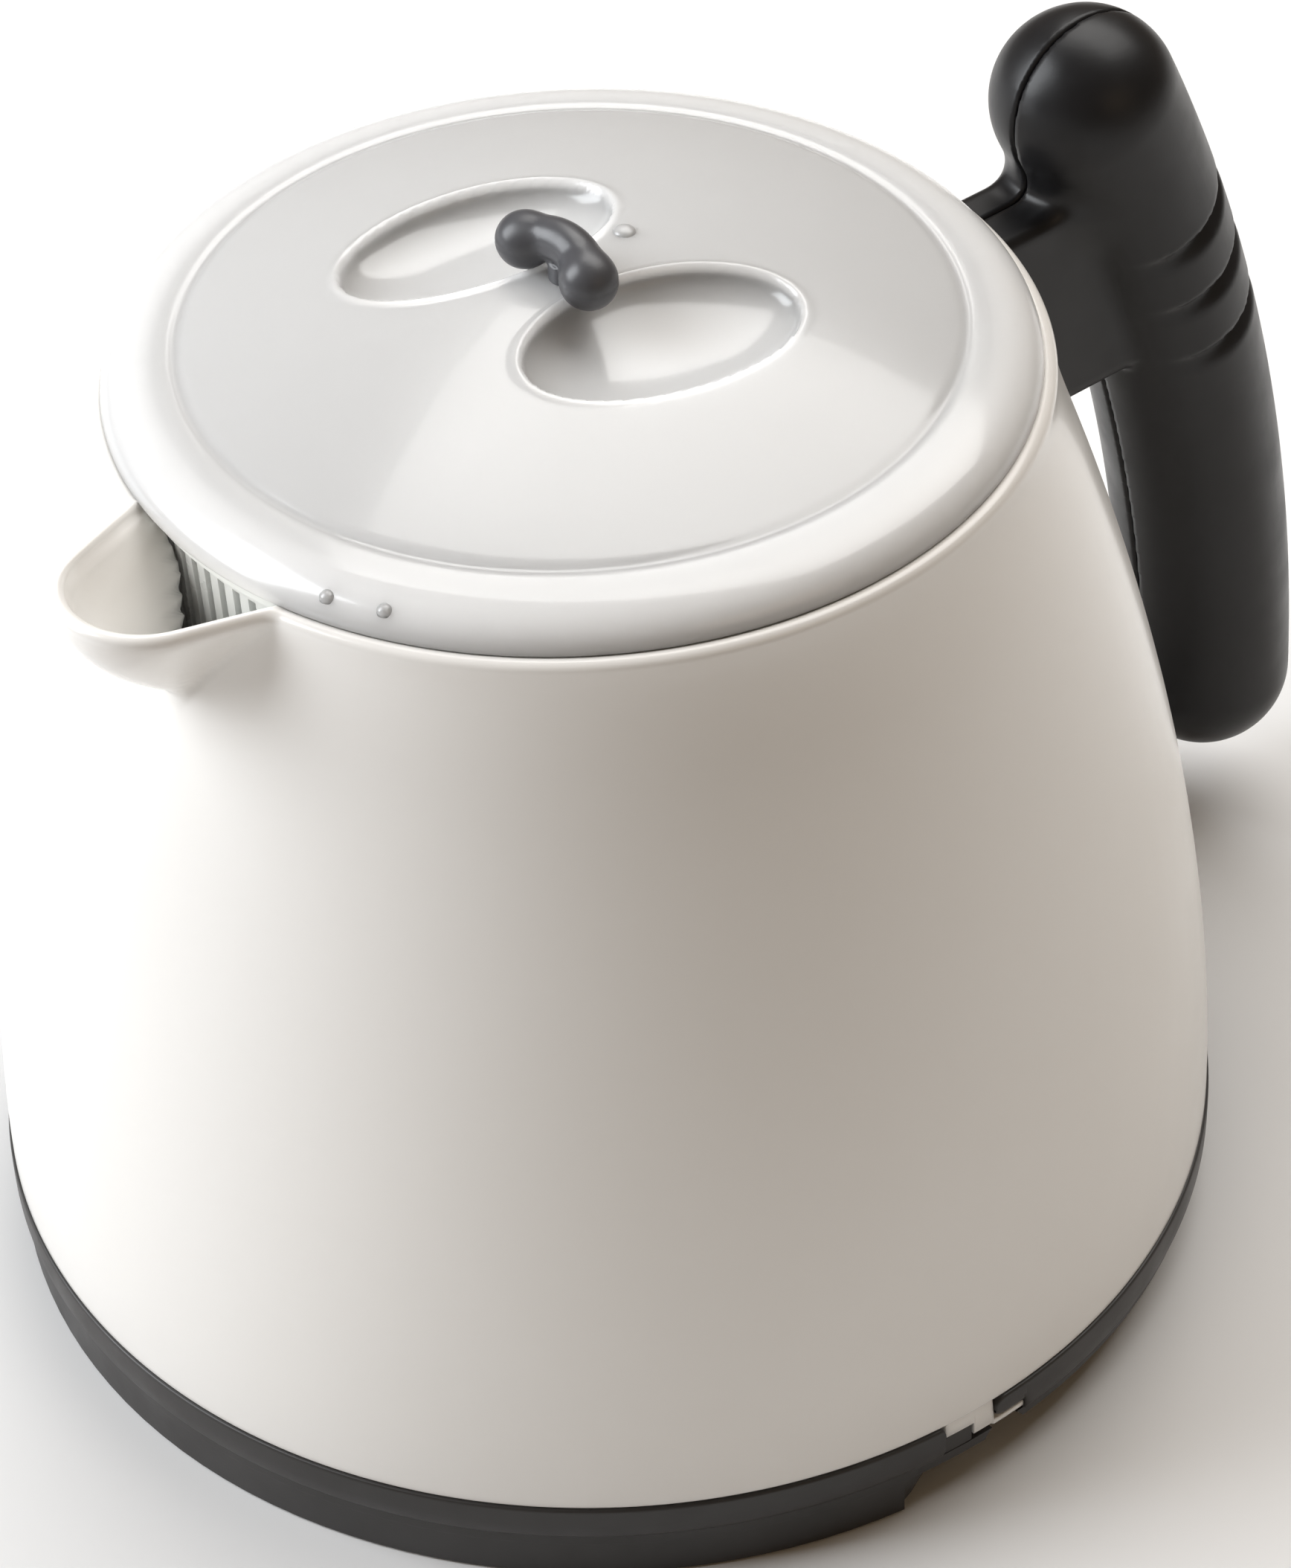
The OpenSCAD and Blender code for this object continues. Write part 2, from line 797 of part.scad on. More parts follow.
module element_lead() {
    color("brown")
        wire([[-7.8, 0, 8.6], [-9.5, -8, 8.5], [-5, -15, 12], [-3, -16.8, 17.6]]);
}

// ---------------------------------------------------------------- cord entry

module cord_grommet() {
    color([0.1, 0.1, 0.1])
        difference() {
            union() {
                y_rod(0, cord_z, -hub_r + 5.5, -hub_r, grommet_r);
                y_rod(0, cord_z, -hub_r + grommet_seat - 0.05, -hub_r - 1.2, grommet_flange_r);
            }
            y_rod(0, cord_z, -hub_r + 6, -hub_r - 3, cord_bore_r);
        }
}

module cord_clamp() {
    color("ivory")
        difference() {
            translate([-11, clamp_y - 3, 7.3])
                cube([22, 6, 2.2]);
            for (side = [-1, 1])
                translate([side * clamp_post_x, clamp_y, 7])
                    cylinder(r = 1.4, h = 3);
        }
}

module cord_clamp_screws() {
    color("silver")
        for (side = [-1, 1])
            translate([side * clamp_post_x, clamp_y, 0]) {
                translate([0, 0, 3])
                    cylinder(r = 1.2, h = 6.6);
                translate([0, 0, 9.6])
                    cylinder(r = 2.4, h = 1.4);
            }
}

jug_body();
strainer_basket();
lid_shell();
lid_knob();
knob_retainer();
handle_near_shell();
handle_far_shell();
handle_screws();
base_ring();
base_cover();
base_screws();
foot_ring();
heater_plate();
heater_element();
insulation_ring();
element_clamp();
clamp_screws();
thermostat();
thermal_fuse();
terminal_block();
live_wire();
neutral_wire();
link_wire();
element_lead();
cord_grommet();
cord_clamp();
cord_clamp_screws();
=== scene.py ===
"""Looks of the yogurt maker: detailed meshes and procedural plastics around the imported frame.

Lengths in the shape functions are millimetres, turned into metres when a mesh is made.
The handle points to +X, the spout to -X, +Z is up, and the jug's axis is the Z axis.
"""
import json
import math

import bpy
import numpy as np
from mathutils import Matrix, Vector


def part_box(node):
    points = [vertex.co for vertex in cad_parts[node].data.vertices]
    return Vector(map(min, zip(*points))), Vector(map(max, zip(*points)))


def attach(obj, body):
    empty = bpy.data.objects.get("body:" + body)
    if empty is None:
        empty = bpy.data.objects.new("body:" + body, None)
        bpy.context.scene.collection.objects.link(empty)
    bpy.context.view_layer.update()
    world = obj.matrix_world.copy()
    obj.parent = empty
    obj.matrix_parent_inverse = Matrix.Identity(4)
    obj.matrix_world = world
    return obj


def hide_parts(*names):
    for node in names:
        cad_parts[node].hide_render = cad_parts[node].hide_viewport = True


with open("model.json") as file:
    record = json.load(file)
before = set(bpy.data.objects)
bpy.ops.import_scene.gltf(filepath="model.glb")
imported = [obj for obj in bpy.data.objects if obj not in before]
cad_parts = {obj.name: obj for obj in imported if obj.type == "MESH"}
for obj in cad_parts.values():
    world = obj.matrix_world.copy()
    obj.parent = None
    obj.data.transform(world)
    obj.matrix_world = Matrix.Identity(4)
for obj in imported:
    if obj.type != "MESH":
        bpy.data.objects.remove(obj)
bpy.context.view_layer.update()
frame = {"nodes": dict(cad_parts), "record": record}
MM = 0.001


def node_box(node):
    """Lowest and highest corner of a CAD node, in millimetres."""
    low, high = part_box(node)
    return np.array(low) / MM, np.array(high) / MM


# ------------------------------------------------------------ driving sizes, from the frame
LID_HIGH = node_box("lid_shell")[1]
RING_LOW, RING_HIGH = node_box("base_ring")
COVER_LOW, COVER_HIGH = node_box("base_cover")

BAND_R = RING_HIGH[1] - 0.02          # widest radius of the base band
BAND_LOW = RING_LOW[2]
BAND_TOP = RING_HIGH[2]
FOOT_R = BAND_R - 0.4                 # the white wall where it meets the band
FOOT_Z = BAND_TOP + 0.1
LID_R = LID_HIGH[0]
LID_TOP = LID_HIGH[2]

# Jug outline
RIM_Z = 134.5
JUG_DRAW = 20.3
JUG_CURVE = 1.85
NECK_Z = 119.5
NECK_END_Z = 133.0
RIM_R = 61.0
WALL = 2.4
SPIGOT_R = 81.2                       # the hidden collar under the wall
SPIGOT_IN_R = 79.2
SPIGOT_Z = 10.5
HEEL_R = 82.2                         # inside of the wall under the floor
HEEL_Z = 15.8
FLOOR_LOW = 22.0
FLOOR_Z = 24.4
FLOOR_ROUND = 5
LEDGE_Z = 132.0                       # the strainer's flange rests here
BORE_R = 56.9                         # inside radius under the ledge
BORE_LOW_Z = 127
SEAT_R = 58.4                         # inside radius above the ledge
RIM_ROUND = 1.3

# Spout: a wedge with a round nose, turned a little towards -Y
SPOUT_REACH = 78.6
SPOUT_TURN = math.radians(2.3)
SPOUT_ROOT_REACH = 64.5
SPOUT_WINGS_AT = 50                   # distance of the wedge's wide end from the axis
SPOUT_ROOT_Z = 117.5
SPOUT_STRETCH_Z = 125.0               # the rows above this height rise with the lip
LIP_RISE_FROM = 59.0
LIP_BASE = 0.2
LIP_SLOPE = 0.042
SPOUT_WALL = 2.5
NOSE_R = (2.6, 9.9)                   # the nose's radius at the root and its growth to the lip
WING_R = (2.5, 15.1)                  # the same for the wedge's wide end
SPOUT_BLEND = 2.2                     # softness of the crease where spout and wall meet
SPOUT_BLEND_INSIDE = 0.6

# Lid
LID_EDGE_Z = 134.6                    # underside of the lid's edge
DISC_R = 49.5
DISC_Z = 139.8
LID_WALL = 1.6
PLUG_R = 54.5
PLUG_LOW = 128.0
DIMPLE_AT = (-2.5, 15.6)
DIMPLE_TURN = math.radians(-10)
DIMPLE_HALF = (18.7, 11.3)
DIMPLE_DEPTH = 5.0
DIMPLE_RIM = 0.32                     # height of the thin raised rim
DISC_CREASE = 0.22                    # depth of the crease round the disc
EDGE_NUBS = ((-157.9, 57.6), (-150.4, 57.4))      # turn in degrees and radius
EDGE_NUB_R = 1.0
EDGE_NUB_SINK = 0.3                   # how deep the bump's foot lies in the lid
GATE_NUB = (11.7, 3.4)                # its place in X and Y
GATE_NUB_R = 1.5
GATE_NUB_SINK = 0.1
NUB_HEIGHT = 0.8

# Knob
BULB_R = 3.7
BULB_X = -1.6
BULB_Y = 6.15
BULB_Z = 150.3
ARCH_RISE = 2.3
ARCH_LEAN = math.radians(45)          # the arch leans towards +X as it rises
ARCH_TUBE_R = 2.75
ARCH_BLEND = 1.3
STEM_R = 2.4
STEM_MID_Z = 145.5
STEM_HALF = 4.0
STEM_BLEND = 0.8
SEAM_DEPTH = 0.07                     # of the moulding line round the knob
SEAM_Z = 0.1                          # its height above the bulbs' middle
SEAM_WIDTH = 0.16
KNOB_TURN = math.radians(2)
KNOB_BOX = ((-7, -13, 141.0), (7, 13, 156))       # corners of the space that is meshed
KNOB_GRID = 0.28

# Handle: the grip's centre line is an arc about ARC_AT, given in X and Z
ARC_R = 278.8
ARC_AT = (-162.4, 11.9)
ARC_LOW = math.radians(2.37)
ARC_HIGH = math.radians(26.39)
GRIP_R = 12.8
GROOVES_AT = [math.radians(a) for a in (18.2, 20.35, 22.5)]
GROOVE_DEPTH = 1.35
GROOVE_TILT = 0.34
ARM_HALF_W = 6.5
ARM_LOW = 92.0
ARM_TOP = 124.5
ARM_END_X = 92
ARM_SOFT = 2.2
FILLET = 1.4                          # between grip and arm, growing towards the top
FILLET_MORE = 3.4
FILLET_FROM_Z = 112
FILLET_TO_Z = 123
SEAM_HALF = 0.12                      # half the gap between the two shells
SEAM_SOFT = 0.35
SCREW_HOLE_R = 3.0
SCREW_SEAT_Y = 4.6
ARM_SCREWS = [(77.5, 101.0), (75.0, 113.5)]
GRIP_SCREWS_AT = [math.radians(a) for a in (3.67, 10, 26.39)]
WALL_GAP = 0.12                       # between the jug's wall and the arm's end
WALL_SLANT = 0.94                     # cosine of the wall's lean at the neck
HANDLE_X = (58, 133)                  # the space that is meshed
HANDLE_Y = (-0.6, 14.0)               # mirrored for the near shell
HANDLE_Z = (8.5, 150)
HANDLE_GRID = 0.6

# Base: the notch in the band and the slot that runs on from it, as turns in degrees
NOTCH_FROM = -97.0
NOTCH_TO = -91.5
NOTCH_MID = -93.6
SLOT_TO = -87.8
SLOT_TOP = 9.8
SLOT_LOW = 8.5
STEP_Z = 10.6
SKIRT_HALF_TURN = 82.0
SKIRT_IN_R = 81.9
TIP_RISE = 5.4                        # the skirt's ends sweep up by this
TIP_TURN = 4.2


# ------------------------------------------------------------ meshes
def make_mesh(name, points_mm, faces, smooth=True):
    """A mesh object from points in millimetres."""
    mesh = bpy.data.meshes.new(name)
    mesh.from_pydata((np.asarray(points_mm, float) * MM).tolist(), [], [list(f) for f in faces])
    mesh.validate()
    mesh.update()
    if smooth:
        mesh.shade_smooth()
    piece = bpy.data.objects.new(name, mesh)
    bpy.context.scene.collection.objects.link(piece)
    return piece


def closed_of_revolution(name, rows):
    """A closed surface from rows of points round the Z axis. rows is an array [row, turn, xyz].
    The first and last rows shrink to a point on the axis."""
    count, turns, _ = rows.shape
    first = rows[0].mean(axis=0)
    last = rows[-1].mean(axis=0)
    body = rows[1:-1].reshape(-1, 3)
    points = np.vstack([body, first[None], last[None]])
    inner = count - 2
    k = np.arange(turns)
    nxt = (k + 1) % turns
    faces = []
    for i in range(inner - 1):
        a = i * turns
        b = a + turns
        faces.append(np.stack([a + k, a + nxt, b + nxt, b + k], axis=1))
    quads = np.vstack(faces).tolist()
    low = len(body)
    fans = [[low, int(n), int(i)] for i, n in zip(k, nxt)]
    top = (inner - 1) * turns
    fans += [[low + 1, int(top + i), int(top + n)] for i, n in zip(k, nxt)]
    return make_mesh(name, points, quads + fans)


def closed_sweep(name, loops):
    """A closed solid swept through loops, an array [station, point, xyz], with flat ends."""
    stations, count, _ = loops.shape
    points = loops.reshape(-1, 3)
    k = np.arange(count)
    nxt = (k + 1) % count
    faces = []
    for i in range(stations - 1):
        a = i * count
        b = a + count
        faces += np.stack([a + k, b + k, b + nxt, a + nxt], axis=1).tolist()
    faces.append(k.tolist())
    faces.append((len(points) - 1 - k).tolist())
    return make_mesh(name, points, faces)


def surface_nets(name, distance, low, high, step):
    """The surface distance(x, y, z) = 0, negative inside, as a smooth closed mesh."""
    low = np.asarray(low, float)
    counts = np.ceil((np.asarray(high, float) - low) / step).astype(int) + 1
    axes = [low[i] + step * np.arange(counts[i]) for i in range(3)]
    value = distance(*np.meshgrid(*axes, indexing="ij"))
    inside = value < 0
    cells = tuple(counts - 1)
    total = np.zeros(cells, int)
    for corner in np.ndindex(2, 2, 2):
        total += inside[tuple(slice(c, c + n) for c, n in zip(corner, cells))]
    active = (total > 0) & (total < 8)
    index = -np.ones(cells, int)
    index[active] = np.arange(active.sum())
    where = np.argwhere(active)
    sums = np.zeros((len(where), 3))
    hits = np.zeros(len(where))
    for axis in range(3):
        others = [a for a in range(3) if a != axis]
        for offset in np.ndindex(2, 2):
            start = where.copy()
            start[:, others[0]] += offset[0]
            start[:, others[1]] += offset[1]
            end = start.copy()
            end[:, axis] += 1
            a = value[tuple(start.T)]
            b = value[tuple(end.T)]
            crossed = (a < 0) != (b < 0)
            share = np.where(crossed, a / np.where(crossed, a - b, 1), 0)
            at = start.astype(float)
            at[:, axis] += share
            sums[crossed] += at[crossed]
            hits[crossed] += 1
    points = low + step * sums / hits[:, None]
    for _ in range(3):
        points = onto_surface(points, distance, step)
    faces = []
    for axis in range(3):
        u, v = [a for a in range(3) if a != axis]
        middle_part = [slice(1, n - 1) for n in counts]
        first, second = list(middle_part), list(middle_part)
        first[axis] = slice(0, counts[axis] - 1)
        second[axis] = slice(1, counts[axis])
        a, b = inside[tuple(first)], inside[tuple(second)]
        base = np.argwhere(a != b)
        leaves = a[tuple(base.T)]
        base[:, u] += 1
        base[:, v] += 1
        ring = []
        for du, dv in ((0, 0), (-1, 0), (-1, -1), (0, -1)):
            cell = base.copy()
            cell[:, u] += du
            cell[:, v] += dv
            ring.append(index[tuple(cell.T)])
        ring = np.stack(ring, axis=1)
        flip = leaves if axis == 1 else ~leaves
        ring[flip] = ring[flip][:, ::-1]
        faces.append(ring)
    return make_mesh(name, points, np.vstack(faces))


def onto_surface(points, distance, step):
    """One Newton step towards distance = 0, never further than half a grid step."""
    h = 0.02
    x, y, z = points.T
    value = distance(x, y, z)
    slope = np.stack([
        distance(x + h, y, z) - distance(x - h, y, z),
        distance(x, y + h, z) - distance(x, y - h, z),
        distance(x, y, z + h) - distance(x, y, z - h)], axis=1) / (2 * h)
    size = np.maximum((slope ** 2).sum(axis=1), 0.05)
    move = -(value / size)[:, None] * slope
    reach = np.linalg.norm(move, axis=1)
    limit = 0.5 * step
    move *= np.minimum(1, limit / np.maximum(reach, 1e-9))[:, None]
    return points + move


# ------------------------------------------------------------ shape maths
def smooth_max(a, b, k):
    """The larger value, with a soft change-over where the two are within k of each other."""
    h = np.clip(0.5 + 0.5 * (a - b) / k, 0, 1)
    return b + (a - b) * h + k * h * (1 - h)


def smooth_min(a, b, k):
    return -smooth_max(-a, -b, k)


def smooth_step(low, high, x):
    t = np.clip((x - low) / (high - low), 0, 1)
    return t * t * (3 - 2 * t)


def wall_r(z):
    """Outer radius of the jug up to the neck, then the neck's turn to the upright rim."""
    z = np.asarray(z, float)
    draw = np.clip((z - FOOT_Z) / (NECK_Z - FOOT_Z), 0, 1)
    low = FOOT_R - JUG_DRAW * draw ** JUG_CURVE
    neck_r = FOOT_R - JUG_DRAW
    slope = JUG_DRAW * JUG_CURVE / (NECK_Z - FOOT_Z)
    mid_z = NECK_Z + (neck_r - RIM_R) / slope
    t = np.linspace(0, 1, 60)
    curve_z = (1 - t) ** 2 * NECK_Z + 2 * t * (1 - t) * mid_z + t * t * NECK_END_Z
    curve_r = (1 - t) ** 2 * neck_r + 2 * t * (1 - t) * RIM_R + t * t * RIM_R
    return np.where(z <= NECK_Z, low, np.interp(z, curve_z, curve_r))


def spout_r(turn, share, shrink):
    """Radius of the spout's outline: a row of circles from the jug's axis to the nose.
    turn is the angle from the spout's middle, share runs from 0 at the root to 1 at the lip."""
    share = np.clip(share, 0, 1)
    grown = np.sin(share * math.pi / 2) ** 0.92
    reach = SPOUT_ROOT_REACH + (SPOUT_REACH - SPOUT_ROOT_REACH) * grown
    nose_r = NOSE_R[0] + NOSE_R[1] * share ** 1.1 - shrink
    wing_r = WING_R[0] + WING_R[1] * share ** 0.85 - shrink
    nose_at = reach - shrink - nose_r
    best = np.zeros(np.broadcast(turn, share).shape)
    for s in np.linspace(0, 1, 25):
        at = SPOUT_WINGS_AT + s * (nose_at - SPOUT_WINGS_AT)
        radius = wing_r + s * (nose_r - wing_r)
        gap = radius ** 2 - (at * np.sin(turn)) ** 2
        hit = at * np.cos(turn) + np.sqrt(np.maximum(gap, 0))
        best = np.maximum(best, np.where((gap > 0) & (np.cos(turn) > 0), hit, 0))
    return best


def lip_height(turn):
    """Height of the jug's edge: level, and rising along the spout."""
    reach = spout_r(turn, np.ones_like(turn), 0) * np.cos(turn)
    out = np.maximum(reach - LIP_RISE_FROM, 0)
    return RIM_Z + LIP_BASE * smooth_step(0, 3, out) + LIP_SLOPE * out


# ------------------------------------------------------------ jug
def jug_turns():
    """Angles round the jug, closest together at the spout."""
    near = np.radians(np.linspace(-26, 26, 150, endpoint=False))
    rest = np.radians(np.linspace(26, 334, 250, endpoint=False))
    return np.concatenate([near, rest])


def jug_profile():
    """(height, kind, value) rows from the underside up the outside, over the lip and down to the
    floor. The value is a radius; an outside row takes the wall's own, and a lip row's value says
    how far across the wall it lies, from 1 outside to -1 inside."""
    rows = [(FLOOR_LOW, "fixed", 0.0), (FLOOR_LOW, "fixed", 60.0),
            (FLOOR_LOW, "fixed", HEEL_R - 0.4), (FLOOR_LOW - 0.4, "fixed", HEEL_R),
            (HEEL_Z + 0.4, "fixed", HEEL_R), (HEEL_Z, "fixed", HEEL_R - 0.4),
            (HEEL_Z, "fixed", SPIGOT_IN_R + 0.2), (SPIGOT_Z + 0.2, "fixed", SPIGOT_IN_R),
            (SPIGOT_Z, "fixed", SPIGOT_IN_R + 0.2), (SPIGOT_Z, "fixed", SPIGOT_R - 0.2),
            (SPIGOT_Z + 0.2, "fixed", SPIGOT_R), (FOOT_Z - 0.02, "fixed", SPIGOT_R),
            (FOOT_Z, "fixed", FOOT_R - 0.5), (FOOT_Z + 0.02, "fixed", FOOT_R - 0.35),
            (FOOT_Z + 0.15, "fixed", FOOT_R - 0.1), (FOOT_Z + 0.4, "outside", 0)]
    rows += [(z, "outside", 0) for z in np.linspace(FOOT_Z + 1.2, RIM_Z - RIM_ROUND, 96)]
    for a in np.radians(np.linspace(12, 168, 12)):
        rows.append((RIM_Z - RIM_ROUND + RIM_ROUND * math.sin(a), "lip", math.cos(a)))
    rows += [(RIM_Z - RIM_ROUND, "inside", SEAT_R), (LEDGE_Z + 0.3, "inside", SEAT_R),
             (LEDGE_Z + 0.05, "inside", SEAT_R - 0.1), (LEDGE_Z, "inside", SEAT_R - 0.4),
             (LEDGE_Z - 0.02, "inside", BORE_R + 0.3), (LEDGE_Z - 0.2, "inside", BORE_R)]
    rows += [(z, "inside", BORE_R) for z in (130.5, 129, 127.5)]
    slant_low_z = NECK_Z - 3
    slant = (wall_r(slant_low_z) - WALL - BORE_R) / (BORE_LOW_Z - slant_low_z)
    for z in np.linspace(BORE_LOW_Z - 0.5, FLOOR_Z + FLOOR_ROUND, 60):
        under_bore = BORE_R + (BORE_LOW_Z - z) * slant
        rows.append((z, "inside", float(np.minimum(under_bore, wall_r(z) - WALL))))
    corner = float(wall_r(FLOOR_Z + FLOOR_ROUND)) - WALL - FLOOR_ROUND
    for a in np.radians(np.linspace(10, 90, 7)):
        rows.append((FLOOR_Z + FLOOR_ROUND - FLOOR_ROUND * math.sin(a), "fixed",
                     corner + FLOOR_ROUND * math.cos(a)))
    rows += [(FLOOR_Z, "fixed", r) for r in (60.0, 35.0, 12.0)]
    rows.append((FLOOR_Z, "fixed", 0.0))
    return rows


def make_jug():
    """The white jug: wall, spout, rim, ledge, floor and the collar under it, as one surface."""
    turn = jug_turns()
    edge = lip_height(turn)
    stretch = (edge - SPOUT_STRETCH_Z) / (RIM_Z - SPOUT_STRETCH_Z)
    out_lip = None
    rows = []
    for z, kind, value in jug_profile():
        if kind == "fixed" or z < SPOUT_STRETCH_Z:
            height = np.full_like(turn, z)
        else:
            height = SPOUT_STRETCH_Z + (z - SPOUT_STRETCH_Z) * stretch
        share = (height - SPOUT_ROOT_Z) / (edge - SPOUT_ROOT_Z)
        if kind == "fixed":
            radius = np.full_like(turn, value)
        elif kind == "outside":
            radius = wall_r(height)
            if z > SPOUT_ROOT_Z:
                radius = smooth_max(radius, spout_r(turn, share, 0), SPOUT_BLEND)
            out_lip = radius
        elif kind == "lip":
            inner = np.maximum(SEAT_R, spout_r(turn, np.ones_like(turn), SPOUT_WALL))
            middle = (out_lip + inner) / 2
            radius = middle + value * (out_lip - inner) / 2
            height = edge - RIM_ROUND + (z - RIM_Z + RIM_ROUND)
        else:
            radius = np.full_like(turn, value)
            if z > SPOUT_ROOT_Z + 2:
                inner = spout_r(turn, share, SPOUT_WALL)
                radius = smooth_max(radius, inner, SPOUT_BLEND_INSIDE)
        place = turn + SPOUT_TURN
        rows.append(np.stack([-radius * np.cos(place), -radius * np.sin(place), height], axis=1))
    return closed_of_revolution("jug", np.array(rows))


# ------------------------------------------------------------ lid
def dome(r):
    """Height of the lid's outside without its dimples."""
    disc = DISC_Z + (LID_TOP - DISC_Z) * (1 - (r / DISC_R) ** 2)
    out = np.clip((r - DISC_R) / (LID_R - DISC_R), 0, 1)
    shoulder = LID_EDGE_Z + (DISC_Z - LID_EDGE_Z) * np.sqrt(np.maximum(1 - out ** 2.2, 0))
    return np.where(r < DISC_R, disc, shoulder)


def dimple_share(x, y):
    """0 at the middle of the nearer dimple and 1 on its outline."""
    side = np.where(y >= 0, 1.0, -1.0)
    u = x * side - DIMPLE_AT[0]
    v = y * side - DIMPLE_AT[1]
    along = u * math.cos(DIMPLE_TURN) + v * math.sin(DIMPLE_TURN)
    across = -u * math.sin(DIMPLE_TURN) + v * math.cos(DIMPLE_TURN)
    return np.sqrt((along / DIMPLE_HALF[0]) ** 2 + (across / DIMPLE_HALF[1]) ** 2)


def lid_top(x, y):
    """Height of the lid's outside: dome, two finger dimples and their thin raised rims."""
    r = np.hypot(x, y)
    height = dome(r)
    e = dimple_share(x, y)
    bowl = DIMPLE_DEPTH * np.sqrt(np.maximum(1 - np.minimum(e, 1) ** 2.3, 0))
    height = height - bowl
    off = (e - 1.03) * DIMPLE_HALF[1]
    height = height + DIMPLE_RIM * np.exp(-(off / 0.42) ** 2)
    height = height - DISC_CREASE * np.exp(-((r - DISC_R) / 0.7) ** 2)
    return height


def make_lid():
    """The lid with its dimples and plug ring, as one closed surface."""
    turn = np.linspace(0, 2 * math.pi, 360, endpoint=False)
    cos, sin = np.cos(turn), np.sin(turn)
    rows = []

    def row(r, z):
        rows.append(np.stack([r * cos, r * sin, np.broadcast_to(z, turn.shape)], axis=1))

    row(0.0, LID_TOP)
    for r in np.linspace(0.5, DISC_R + 1, 120):
        row(r, lid_top(r * cos, r * sin))
    for out in np.sin(np.radians(np.linspace(10, 88, 26))):
        r = DISC_R + (LID_R - DISC_R) * out
        if r > DISC_R + 1.2:
            row(r, lid_top(r * cos, r * sin))
    edge = LID_EDGE_Z
    for r, z in ((LID_R, edge + 0.12), (LID_R - 0.03, edge + 0.03), (LID_R - 0.12, edge),
                 (PLUG_R + 0.3, edge), (PLUG_R, edge - 0.3), (PLUG_R, PLUG_LOW + 0.4),
                 (PLUG_R - 0.4, PLUG_LOW), (PLUG_R - 1.0, PLUG_LOW), (PLUG_R - 1.4, PLUG_LOW + 0.4),
                 (PLUG_R - 1.4, edge)):
        row(r, z)
    for r in np.linspace(PLUG_R - 2.0, 1.0, 90):
        row(r, lid_top(r * cos, r * sin) - LID_WALL)
    row(0.0, LID_TOP - LID_WALL)
    return closed_of_revolution("lid", np.array(rows)[::-1])


def make_nub(name, x, y, z, radius, height):
    """A small moulded bump with a soft foot."""
    turn = np.linspace(0, 2 * math.pi, 28, endpoint=False)
    rows = []
    for share in np.linspace(0, 1, 9):
        a = share * math.pi / 2
        r = radius * math.cos(a)
        rows.append(np.stack([x + r * np.cos(turn), y + r * np.sin(turn),
                              np.full_like(turn, z + height * math.sin(a))], axis=1))
    under = np.stack([x + 0 * turn, y + 0 * turn, np.full_like(turn, z - 0.4)], axis=1)
    skirt = rows[0].copy()
    skirt[:, 2] = z - 0.4
    return closed_of_revolution(name, np.array([under, skirt] + rows))


# ------------------------------------------------------------ knob
def knob_distance(x, y, z):
    """Two bulbs joined by an arched tube, on a stem."""
    c, s = math.cos(KNOB_TURN), math.sin(KNOB_TURN)
    u, v = x * c + y * s, -x * s + y * c
    off, up = u - BULB_X, z - BULB_Z
    ends = [np.sqrt(off ** 2 + (v - side * BULB_Y) ** 2 + up ** 2) - BULB_R for side in (-1, 1)]
    bulbs = np.minimum(*ends)
    rise = up * math.cos(ARCH_LEAN) + off * math.sin(ARCH_LEAN)
    across = off * math.cos(ARCH_LEAN) - up * math.sin(ARCH_LEAN)
    arch_r = (BULB_Y ** 2 + ARCH_RISE ** 2) / (2 * ARCH_RISE)
    centre = ARCH_RISE - arch_r
    around = np.hypot(v, rise - centre) - arch_r
    half = math.asin(BULB_Y / arch_r)
    beyond = np.maximum(np.abs(np.arctan2(v, rise - centre)) - half, 0) * arch_r
    neck = np.sqrt(across ** 2 + around ** 2 + beyond ** 2) - ARCH_TUBE_R
    stem = np.maximum(np.hypot(u, v) - STEM_R, np.abs(z - STEM_MID_Z) - STEM_HALF)
    body = smooth_min(bulbs, neck, ARCH_BLEND)
    seam = SEAM_DEPTH * np.exp(-((up - SEAM_Z) / SEAM_WIDTH) ** 2)
    return smooth_min(body + seam, stem, STEM_BLEND)


# ------------------------------------------------------------ handle
def grip_frame(x, z):
    """Angle along the grip's arc, and the distance outwards from its centre line."""
    dx, dz = x - ARC_AT[0], z - ARC_AT[1]
    return np.arctan2(dz, dx), np.hypot(dx, dz) - ARC_R


def grip_distance(x, y, z):
    """A round bar along the grip's arc, with three grooves on the side away from the jug."""
    angle, outward = grip_frame(x, z)
    beyond = (np.maximum(ARC_LOW - angle, 0) + np.maximum(angle - ARC_HIGH, 0)) * (ARC_R + outward)
    along = angle * ARC_R
    facing = outward / np.maximum(np.hypot(outward, y), 1e-3)
    groove = np.zeros_like(x)
    for at in GROOVES_AT:
        s = along - at * ARC_R + GROOVE_TILT * np.sqrt(y ** 2 + 4)
        upper = smooth_step(-2.9, -0.2, s) * (1 - smooth_step(0.0, 1.1, s))
        groove = np.maximum(groove, upper)
    depth = GROOVE_DEPTH * groove * smooth_step(-0.75, 0.25, facing)
    return np.sqrt(outward ** 2 + y ** 2 + beyond ** 2) - (GRIP_R - depth)


def arm_distance(x, y, z):
    """A bar along X with rounded long edges."""
    dy = np.abs(y) - (ARM_HALF_W - ARM_SOFT)
    dz = np.abs(z - (ARM_LOW + ARM_TOP) / 2) - ((ARM_TOP - ARM_LOW) / 2 - ARM_SOFT)
    beyond = np.hypot(np.maximum(dy, 0), np.maximum(dz, 0))
    section = beyond + np.minimum(np.maximum(dy, dz), 0) - ARM_SOFT
    return np.maximum(section, x - ARM_END_X)


